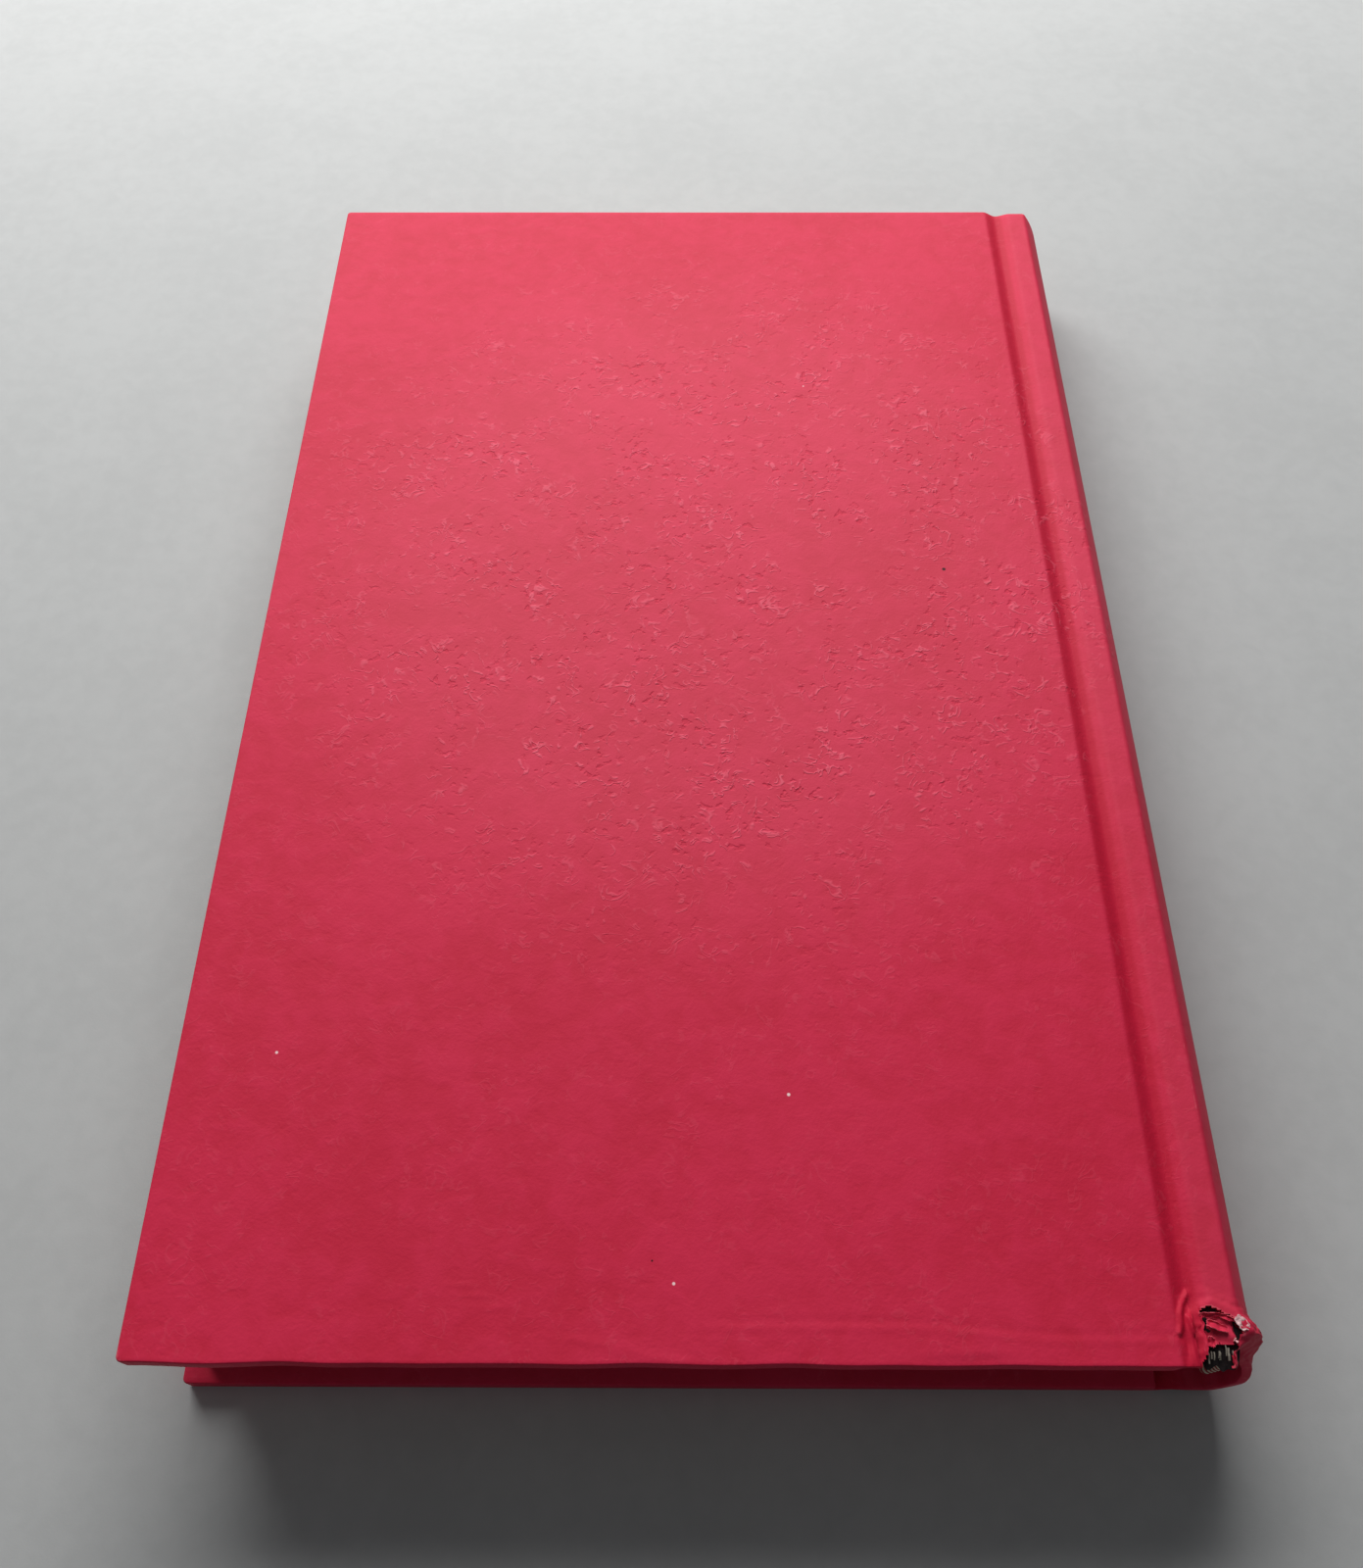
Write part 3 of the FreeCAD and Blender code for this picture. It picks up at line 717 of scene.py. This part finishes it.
# %% Back cover paper, the upper one
def dent_back_cover(bm):
    for point in bm.verts:
        u, v = uv_place(point.co)
        over_joint = ramp(u, -1.9, -0.9)
        top = ramp(point.co.z, FACE - 0.9 * MM, FACE - 0.3 * MM)
        share = top * (1 - over_joint) + over_joint
        point.co.y += 0.22 * noise.noise(Vector((u * 0.11, 0, 4.0))) * (1 - ramp(v, 0, 4)) * MM
        point.co.z += (crushed(u, v) + knocked(u, v)) * MM * share
        point.co.z += warped(point.co, 1.7) * (1 - ramp(u, -12, -3))
        point.co.z = min(point.co.z, HIGHEST)


def back_wear(place):
    u, v = uv_place(place)
    return edge_wear(place) + (marked(WORN_ON_COVER, u, v) if v < 12 else 0)


back_sheet = cover_sheet()
dent_back_cover(back_sheet)
paint_wear(back_sheet, back_wear)
bmesh.ops.solidify(back_sheet, geom=back_sheet.faces[:], thickness=PAPER)
back_cover_paper = new_piece(back_sheet, "back_cover_paper", covering_paper)
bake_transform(back_cover_paper)
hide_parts("back_covering")

# %% Front cover paper, turned over and leaned
def turn_over(bm):
    """Turns a back cover's sheet over onto the front of the book, where the lean shifts it."""
    bmesh.ops.rotate(bm, verts=bm.verts, cent=(0, 0, MIDDLE), matrix=Matrix.Rotation(math.pi, 3, "X"))
    bmesh.ops.translate(bm, verts=bm.verts, vec=(LEAN, 0, 0))


front_sheet = cover_sheet()
paint_wear(front_sheet, edge_wear)
for point in front_sheet.verts:
    point.co.z -= abs(warped(point.co, 8.2)) * (1 - ramp(point.co.x, HINGE - 12 * MM, HINGE - 3 * MM)) * 0.4
turn_over(front_sheet)
bmesh.ops.solidify(front_sheet, geom=front_sheet.faces[:], thickness=PAPER)
front_cover_paper = new_piece(front_sheet, "front_cover_paper", covering_paper)
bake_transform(front_cover_paper)
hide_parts("front_covering")

# %% [markdown]
# ## The paper round the spine
# Between the two grooves the same paper goes over a crisp shoulder and round the spine, folds over
# the end of the stiff inlay and is turned in behind it. It is pulled from tail to head like the
# covers. Then a ragged piece is taken out of the tail end over the upper shoulder, the paper beside
# it is pushed out into a lobe, and what was turned in there shows through the hole.

# %% Section of the spine paper
SHOULDER_ROUND = 0.30 * MM
SPINE_FOLD = 1.4 * MM
rim_up = math.asin((upper_shoulder.z - spine_centre.z) / spine_radius)
rim_down = math.asin((lower_shoulder.z - spine_centre.z) / spine_radius)


def spine_section():
    """Points from the upper seam over the spine to the lower seam, in X and Z."""
    top = [(HINGE + u, joint_level(u)) for u in steps(SEAM, SHOULDER - 0.25 * MM, 21)]
    slack = SHOULDER_ROUND / spine_radius
    arc = [(spine_centre.x + spine_radius * math.cos(a), spine_centre.z + spine_radius * math.sin(a))
           for a in steps(rim_up - slack, rim_down + slack, 48)]
    low = [(x + LEAN, FACE - z) for x, z in reversed(top)]
    return [*top, *arc, *low]


def into_spine(place):
    """The way from the paper's outside to the inside of the fold, which closes up at the shoulder."""
    upper = place.z > MIDDLE
    u = place.x - HINGE - (0 if upper else LEAN)
    if u < SHOULDER - 0.2 * MM:
        closing = (SPINE_FOLD - 0.4 * MM) * ramp(u, 1.8 * MM, SHOULDER)
        return Vector((-closing, 0, -FOLDED_JOINT if upper else FOLDED_JOINT))
    return (spine_centre - Vector((place.x, 0, place.z))).normalized() * SPINE_FOLD


def spine_sheet():
    bm = bmesh.new()
    tail = row_of_points(bm, [(x, -HALF_HEIGHT, z) for x, z in spine_section()])
    head = pull(bm, tail, lambda place: Vector((0, 2 * HALF_HEIGHT, 0)))
    for end in (tail, head):
        low = pull(bm, end, into_spine)
        pull(bm, low, lambda place: Vector((0, -math.copysign(TURN_IN, place.y), 0)))
    bmesh.ops.recalc_face_normals(bm, faces=bm.faces)
    soften(bm, rim_folds(bm), 0.22 * MM, 2)
    cut_across(bm, "Y", ROWS)
    return bm


# %% The torn tail
def tear_spine(bm):
    hole = [*TORN_START, *TORN_EDGE, *TORN_END]
    doomed = []
    for face in bm.faces:
        middle = face.calc_center_median()
        u, v = uv_place(middle)
        if middle.z < MIDDLE + 5 * MM or v > 9:
            continue
        outer = middle.z > SHOULDER_TOP - 0.35 * MM or v < 0.3
        ragged = 0.5 * noise.noise(Vector((u * 1.6, v * 1.6, 5.0)))
        if outer and inside(hole, u, v):
            doomed.append(face)
        if not outer and inside(hole, u, v) and not 2.9 + ragged < v < 6.1:
            doomed.append(face)
    bmesh.ops.delete(bm, geom=doomed, context="FACES")
    print("faces torn out:", len(doomed))


def crushed_corner(place):
    """How the spine's tail corner has been knocked: pushed towards the head, and bulged into a lobe."""
    u, v = uv_place(place)
    height = place.z / MM
    corner = ramp(u, 5.2, 7.4) * ramp(height, 7, 15)
    head_way = 1.7 * corner * (1 - ramp(v, 0.2, 5.6))
    out = (1.3 * hill(abs(v - 3.8), 3.6) - 1.0 * (1 - ramp(v, 0, 2.2))) * corner * ramp(height, 9, 16)
    sink = 2.1 * (1 - ramp(v, 0, 4.0)) * ramp(u, 4.8, 6.8) * ramp(height, 12, 20)
    rise = 0.20 * hill(abs(v - 4.2), 2.6) * ramp(u, 4.6, 6.6) * ramp(height, 16, 20)
    wrinkle = 0.34 * noise.noise(Vector((u * 0.9, v * 1.5, height * 0.8)))
    wrinkle *= (1 - ramp(v, 5, 9)) * ramp(height, 9, 17)
    return Vector((out + wrinkle, head_way, rise - sink + 0.6 * wrinkle)) * MM


def crush_spine(bm):
    for point in bm.verts:
        u, v = uv_place(point.co)
        if point.co.z < 4 * MM or v > 14:
            continue
        level = 1 if point.co.z > SHOULDER_TOP - 0.35 * MM else 0.35
        lift = crushed(u, v) * level * (1 - ramp(u, 6.2, 7.4))
        point.co += crushed_corner(point.co) + Vector((0, 0, lift * MM))
        point.co.z = min(point.co.z, FACE - 0.16 * MM)


def spine_wear(place):
    u, v = uv_place(place)
    along = 0.75 + 0.5 * noise.noise(Vector((place.x * 60, place.y * 60, 2.0)))
    wear = 0.8 * along * max(hill((place - Vector((edge.x - 0.15 * MM, place.y, edge.z))).length, 0.45 * MM)
                             for edge in (upper_shoulder, lower_shoulder))
    wear += 0.5 * hill(HALF_HEIGHT - abs(place.y), 0.8 * MM)
    if v < 10 and place.z > MIDDLE:
        wear += marked(WORN_ON_SPINE, u, v)
    return wear


spine_bm = spine_sheet()
tear_spine(spine_bm)
paint_wear(spine_bm, spine_wear)
crush_spine(spine_bm)
bmesh.ops.solidify(spine_bm, geom=spine_bm.faces[:], thickness=PAPER * 0.9)
spine_paper = new_piece(spine_bm, "spine_paper", covering_paper)
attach(spine_paper, "pages")
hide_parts("spine_covering")

# %% [markdown]
# ## The pages
# A book block is sewn from gatherings of folded sheets. At the fore edge they lie close, in a slight
# hollow, and towards the spine they fan out to the shoulders, because the folds and the thread are
# thicker. Each gathering is one section, pulled from tail to head, a hair out of line with its
# neighbours, and the finer sheets are lines in the material.

# %% Gatherings
GATHERINGS = 22
page_low, page_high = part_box("text_block")
FLY_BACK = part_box("back_flyleaf")[0]
FLY_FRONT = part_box("front_flyleaf")[1]
PAGES_TOP = FLY_BACK.z
PAGES_BASE = FLY_FRONT.z
FAN_START = 0.8 * MM
FAN_END = 2.6 * MM
FORE_HOLLOW = 1.5 * MM
FAN = (page_high.z - page_low.z) / (PAGES_TOP - PAGES_BASE)
PAGE_FORE = FLY_BACK.x - HINGE - LEAN * (FACE - PAGES_TOP) / FACE
PAGE_ROUND = spine_radius - 2.36 * MM


def page_point(level, across):
    """A point of the block's section: level runs from 0, front, to 1, back; across in metres."""
    plain = PAGES_BASE + level * (PAGES_TOP - PAGES_BASE)
    x = HINGE + LEAN * (FACE - plain) / FACE + across
    fan = 1 + (FAN - 1) * ramp(across, FAN_START, FAN_END)
    return Vector((x, 0, MIDDLE + (plain - MIDDLE) * fan))


def spine_end(level):
    height = MIDDLE + (level - 0.5) * (page_high.z - page_low.z)
    reach = math.sqrt(PAGE_ROUND ** 2 - (height - spine_centre.z) ** 2)
    return Vector((spine_centre.x + reach, 0, height))


def gathering_section(low, high, shift):
    fore = PAGE_FORE + shift
    hollow = [FORE_HOLLOW * (1 - (2 * level - 1) ** 2) for level in (low, high)]
    across = [FAN_START, 1.4 * MM, 2.0 * MM, FAN_END]
    lower = [page_point(low, fore + hollow[0]), *[page_point(low, a) for a in across], spine_end(low)]
    upper = [page_point(high, fore + hollow[1]), *[page_point(high, a) for a in across], spine_end(high)]
    fold = spine_end((low + high) / 2) + Vector((0.10 * MM, 0, 0))
    return [*lower, fold, *reversed(upper)]


def text_block():
    chance = random.Random(11)
    bm = bmesh.new()
    for i in range(GATHERINGS):
        section = gathering_section(i / GATHERINGS, (i + 1) / GATHERINGS, chance.uniform(0.0, 0.14) * MM)
        half = page_high.y - chance.uniform(0.0, 0.12) * MM
        corners = [bm.verts.new(place + Vector((0, -half, 0))) for place in section]
        face = bm.faces.new(corners)
        made = bmesh.ops.extrude_face_region(bm, geom=[face])["geom"]
        head_end = [v for v in made if isinstance(v, bmesh.types.BMVert)]
        bmesh.ops.translate(bm, verts=head_end, vec=(0, 2 * half, 0))
    bmesh.ops.recalc_face_normals(bm, faces=bm.faces)
    rims = [e for e in bm.edges if e.calc_face_angle(0) > math.radians(50)]
    soften(bm, rims, 0.06 * MM, 1)
    return bm


pages = new_piece(text_block(), "page_gatherings", page_paper, 25)
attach(pages, "pages")
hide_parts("text_block")

# %% [markdown]
# ## Endpapers at the joint
# The endpaper is one folded sheet: half is pasted to the board, half is the first free leaf, and the
# fold bridges the joint. The two halves are plain nodes of the frame, so only the fold is added, as
# a narrow strip from the pasted half to the free leaf.

# %% Endpaper folds
ENDPAPER = 0.13 * MM


def endpaper_fold(name, front):
    paste_low, paste_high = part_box("back_pastedown")
    fly_low, fly_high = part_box("back_flyleaf")
    pasted = Vector((paste_high.x - 0.4 * MM, 0, paste_low.z + 0.07 * MM))
    free = Vector((fly_high.x - 0.3 * MM, 0, fly_high.z + 0.01 * MM))
    bm = bmesh.new()
    row = []
    for share in steps(0, 1, 10):
        place = pasted.lerp(free, share)
        row.append((place.x, paste_low.y + 0.05 * MM, place.z + 0.10 * MM * math.sin(math.pi * share)))
    pull(bm, row_of_points(bm, row), lambda place: Vector((0, paste_high.y - paste_low.y - 0.1 * MM, 0)))
    bmesh.ops.recalc_face_normals(bm, faces=bm.faces)
    if front:
        turn_over(bm)
    bmesh.ops.solidify(bm, geom=bm.faces[:], thickness=ENDPAPER * 0.5)
    piece = new_piece(bm, name, endpaper)
    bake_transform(piece)
    return piece


endpaper_fold("back_endpaper_fold", False)
endpaper_fold("front_endpaper_fold", True)

# %% [markdown]
# ## Headbands
# A headband is a strip of cloth with a stitched bead, glued across each end of the spine. The bead
# is a ring of points spun round the spine's centre, with every few rings drawn in for the stitches.
# A stitch attribute tells the red thread from the cream one.

# %% Two stitched beads
BEAD = 0.72 * MM
STITCHES = 30


def headband(name, node, side):
    low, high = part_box(node)
    ring_radius = PAGE_ROUND - 0.9 * MM
    start = math.asin((high.z - 0.8 * MM - spine_centre.z) / ring_radius)
    end = math.asin((low.z + 0.8 * MM - spine_centre.z) / ring_radius)
    bm = bmesh.new()
    inner_y = side * (page_high.y + 0.80 * MM)
    standing = Matrix.Rotation(-start, 4, "Y")
    bmesh.ops.create_circle(bm, segments=10, radius=BEAD, cap_ends=True, matrix=standing)
    centre = Vector((spine_centre.x, inner_y, spine_centre.z))
    at_start = centre + Vector((math.cos(start), 0, math.sin(start))) * ring_radius
    bmesh.ops.translate(bm, verts=bm.verts, vec=at_start)
    bmesh.ops.spin(bm, geom=[*bm.verts, *bm.edges, *bm.faces], cent=centre, axis=(0, 1, 0), angle=start - end,
                   steps=STITCHES * 4, use_duplicate=False)
    layer = bm.verts.layers.float.new("stitch")
    for point in bm.verts:
        spoke = point.co - centre
        turn = (start - math.atan2(spoke.z, spoke.x)) / (start - end) * STITCHES
        core = centre + Vector((spoke.x, 0, spoke.z)).normalized() * ring_radius
        pinch = 1 - 0.16 * (0.5 + 0.5 * math.cos(turn * 2 * math.pi))
        point[layer] = round(turn) % 2
        point.co = core + (point.co - core) * pinch
    bmesh.ops.remove_doubles(bm, verts=bm.verts, dist=1e-6)
    bmesh.ops.recalc_face_normals(bm, faces=bm.faces)
    piece = new_piece(bm, name, band_thread, 60)
    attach(piece, "pages")
    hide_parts(node)


headband("head_bead", "headband", 1)
headband("tail_bead", "tailband", -1)

# %% [markdown]
# ## What shows in the tear
# Paper tears into layers: the coloured side curls back, and the core comes out pale and hairy. Under
# it the turned-in paper is crumpled, the corner of the stiff inlay is pushed back and its board has
# split into grey strands. A near-black board under the hole, and the inlay's near-black finish, are
# painted shade. Each of these is a small grid or strip, bent with a few hills and noise, and given a
# thin thickness.

# %% One crumpled scrap
SCRAP_THICKNESS = 0.10 * MM


def scrap(name, middle, size, turn, bend, material, seed, highest):
    """A small torn piece: a grid, roughly oval, bent along one side and crumpled."""
    bm = bmesh.new()
    bmesh.ops.create_grid(bm, x_segments=20, y_segments=14, size=0.5)
    for point in bm.verts:
        x, y = point.co.x * 2, point.co.y * 2
        ragged = 1 + 0.30 * noise.noise(Vector((x * 1.9, y * 1.9, seed)))
        round_off = math.sqrt(1 - 0.45 * y * y) * ragged, math.sqrt(1 - 0.45 * x * x) * ragged
        curl = bend * y * y + 0.22 * noise.noise(Vector((x * 1.6, y * 1.3, seed + 4)))
        point.co = Vector((x * round_off[0] * size[0] / 2, y * round_off[1] * size[1] / 2, curl)) * MM
    bmesh.ops.rotate(bm, verts=bm.verts, cent=(0, 0, 0), matrix=turn)
    place = Vector((HINGE + middle[0] * MM, -HALF_HEIGHT + middle[1] * MM, middle[2] * MM))
    bmesh.ops.translate(bm, verts=bm.verts, vec=place)
    layer = bm.verts.layers.float.new("wear")
    for point in bm.verts:
        point[layer] = 0.95 if point.is_boundary else 0.15
        point.co.z = min(point.co.z, highest)
    bmesh.ops.recalc_face_normals(bm, faces=bm.faces)
    bmesh.ops.solidify(bm, geom=bm.faces[:], thickness=SCRAP_THICKNESS)
    piece = new_piece(bm, name, material)
    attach(piece, "pages")


def turned(x_degrees, y_degrees, z_degrees):
    """A turn about X, then about Y, then about Z."""
    about_x = Matrix.Rotation(math.radians(x_degrees), 3, "X")
    about_y = Matrix.Rotation(math.radians(y_degrees), 3, "Y")
    about_z = Matrix.Rotation(math.radians(z_degrees), 3, "Z")
    return about_z @ about_y @ about_x


# %% All the scraps
# Middle in millimetres past the hinge, from the tail and up, then length and width, turns in
# degrees, bend, finish and the seed of its crumples. The frayed core has to stay lower than the
# others, clear of the cover when that lies open.
SCRAPS = {
    "torn_lip": ((3.1, 6.25, 21.6), (2.7, 0.8), (40, 0, -2), 0.12, covering_paper, 1.0),
    "torn_edge_core": ((5.2, 5.85, 21.65), (2.0, 0.5), (25, 0, -22), 0.10, covering_paper, 2.4),
    "frayed_core": ((6.85, 5.25, 21.76), (2.1, 1.4), (-6, 6, -42), 0.08, torn_paper, 3.1),
    "inner_fold": ((3.7, 4.75, 21.4), (2.9, 1.3), (-25, 8, -20), 0.30, covering_paper, 5.3),
    "loose_flake": ((2.8, 3.1, 21.4), (0.9, 1.4), (10, -30, 12), 0.20, covering_paper, 7.9),
    "lobe_flake": ((5.7, 3.2, 21.3), (0.35, 0.6), (10, 40, 30), 0.15, torn_paper, 9.6),
    # A near-black sheet under the hole, as painted shade.
    "hole_shade_board": ((3.9, 3.8, 20.95), (6.0, 8.0), (6, 2, 0), -0.25, shade_black_board, 4.4),
}
STAYS_BELOW = {"frayed_core": FACE - 0.12 * MM}
for name, (middle, size, turns, bend, material, seed) in SCRAPS.items():
    scrap(name, middle, size, turned(*turns), bend, material, seed, STAYS_BELOW.get(name, HIGHEST))


# %% Inlay of the spine, with its crushed corner
INLAY_THICKNESS = 0.5 * MM
INLAY_GAP = 0.02 * MM


def inlay():
    """The stiff strip inside the round, whose tail corner is pushed back under the lobe."""
    low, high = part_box("spine_inlay")
    radius = spine_radius - PAPER - INLAY_GAP
    angles = [math.asin((level - spine_centre.z) / radius) for level in (high.z, low.z)]
    bm = bmesh.new()
    round_of_spine = [(spine_centre.x + radius * math.cos(a), low.y, spine_centre.z + radius * math.sin(a))
                      for a in steps(*angles, 40)]
    tail = row_of_points(bm, round_of_spine)
    pull(bm, tail, lambda place: Vector((0, high.y - low.y, 0)))
    cut_across(bm, "Y", TORN_ROWS)
    for point in bm.verts:
        corner = ramp(point.co.z, 5 * MM, 14 * MM) * (1 - ramp(uv_place(point.co)[1], 0, 8))
        split = 1 + 0.3 * noise.noise(Vector((point.co.z / MM * 0.8, 0, 2.0)))
        point.co += Vector((-0.7, 5.2 * split, -0.3)) * corner * MM
    bmesh.ops.recalc_face_normals(bm, faces=bm.faces)
    bmesh.ops.solidify(bm, geom=bm.faces[:], thickness=INLAY_THICKNESS)
    # Its board is near black, as painted shade in the open tail.
    piece = new_piece(bm, "split_inlay", shade_black_board)
    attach(piece, "pages")
    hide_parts("spine_inlay")


inlay()


# %% Split strands of the inlay
STRANDS = 9
STRAND_STEP = 0.45
STRAND_DEPTH = 0.16


def inlay_strands():
    """Grey strands of board that stand out in the open tail end, with dark gaps between them."""
    chance = random.Random(5)
    bm = bmesh.new()
    for i in range(STRANDS):
        u = 1.5 + STRAND_STEP * i + chance.uniform(-0.18, 0.18)
        v = 1.9 + chance.uniform(-0.5, 0.6)
        width = chance.uniform(0.08, 0.24)
        length = chance.uniform(0.6, 1.9)
        top = 21.2 - 0.05 * abs(i - 4) + chance.uniform(-0.2, 0.2)
        before = len(bm.verts)
        stretched = Matrix.Diagonal((width, length, STRAND_DEPTH, 1))
        corners = bmesh.ops.create_cube(bm, size=1.0, matrix=stretched)["verts"]
        along = [e for e in bm.edges if e.verts[0] in corners and e.calc_length() > length * 0.9]
        bmesh.ops.subdivide_edges(bm, edges=along, cuts=7)
        bm.verts.ensure_lookup_table()
        for point in bm.verts[before:]:
            curl = 0.35 * (point.co.y / length) ** 2
            curl += 0.18 * noise.noise(Vector((u * 3, point.co.y * 0.9, 1.0)))
            sway = 0.20 * noise.noise(Vector((u * 2, point.co.y * 0.8, 6.0)))
            point.co = Vector(((u + point.co.x + sway) * MM + HINGE, (point.co.y + v) * MM - HALF_HEIGHT,
                               (top + point.co.z - curl) * MM))
    bmesh.ops.recalc_face_normals(bm, faces=bm.faces)
    piece = new_piece(bm, "inlay_strands", greyboard)
    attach(piece, "pages")


inlay_strands()

# %% [markdown]
# ## The pieces that keep their measured shape
# Boards, endpapers, mull and lining are already right as they are in the frame, and mostly hidden.
# They only get their finishes.

# %% Finishes of the frame's own pieces
NODE_FINISHES = {
    "back_board": greyboard, "front_board": greyboard,
    "back_pastedown": endpaper, "front_pastedown": endpaper,
    "back_flyleaf": endpaper, "front_flyleaf": endpaper,
    "mull": gauze, "spine_lining": kraft_paper,
}
for node, finish in NODE_FINISHES.items():
    for slot in frame["nodes"][node].material_slots:
        slot.material = finish
print("finished", len(NODE_FINISHES), "frame pieces")

# %% [markdown]
# ## Floor and sizes
# The floor is a plain pale sheet, a hair below the book, so that no two faces lie in one plane. Last,
# the box of the dressed book is printed beside the measured one. The looks may not change the book's
# size.

# %% Floor
FLOOR_HALF = 1.6
FLOOR_GAP = 0.05 * MM

floor_bm = bmesh.new()
under_book = Matrix.Translation((0, 0, -FLOOR_GAP))
bmesh.ops.create_grid(floor_bm, x_segments=2, y_segments=2, size=FLOOR_HALF, matrix=under_book)
floor_mesh = bpy.data.meshes.new("floor")
floor_bm.to_mesh(floor_mesh)
floor_bm.free()
floor_mesh.materials.append(floor_paper)
floor = bpy.data.objects.new("floor", floor_mesh)
bpy.context.scene.collection.objects.link(floor)
floor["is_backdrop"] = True

# %% Print the two boxes
dressed_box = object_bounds()
boxes = {"cad": [list(corner) for corner in cad_box], "visual": [list(corner) for corner in dressed_box]}
for model, box in boxes.items():
    print(model, "box in millimetres:", [[round(c / MM, 2) for c in corner] for corner in box])
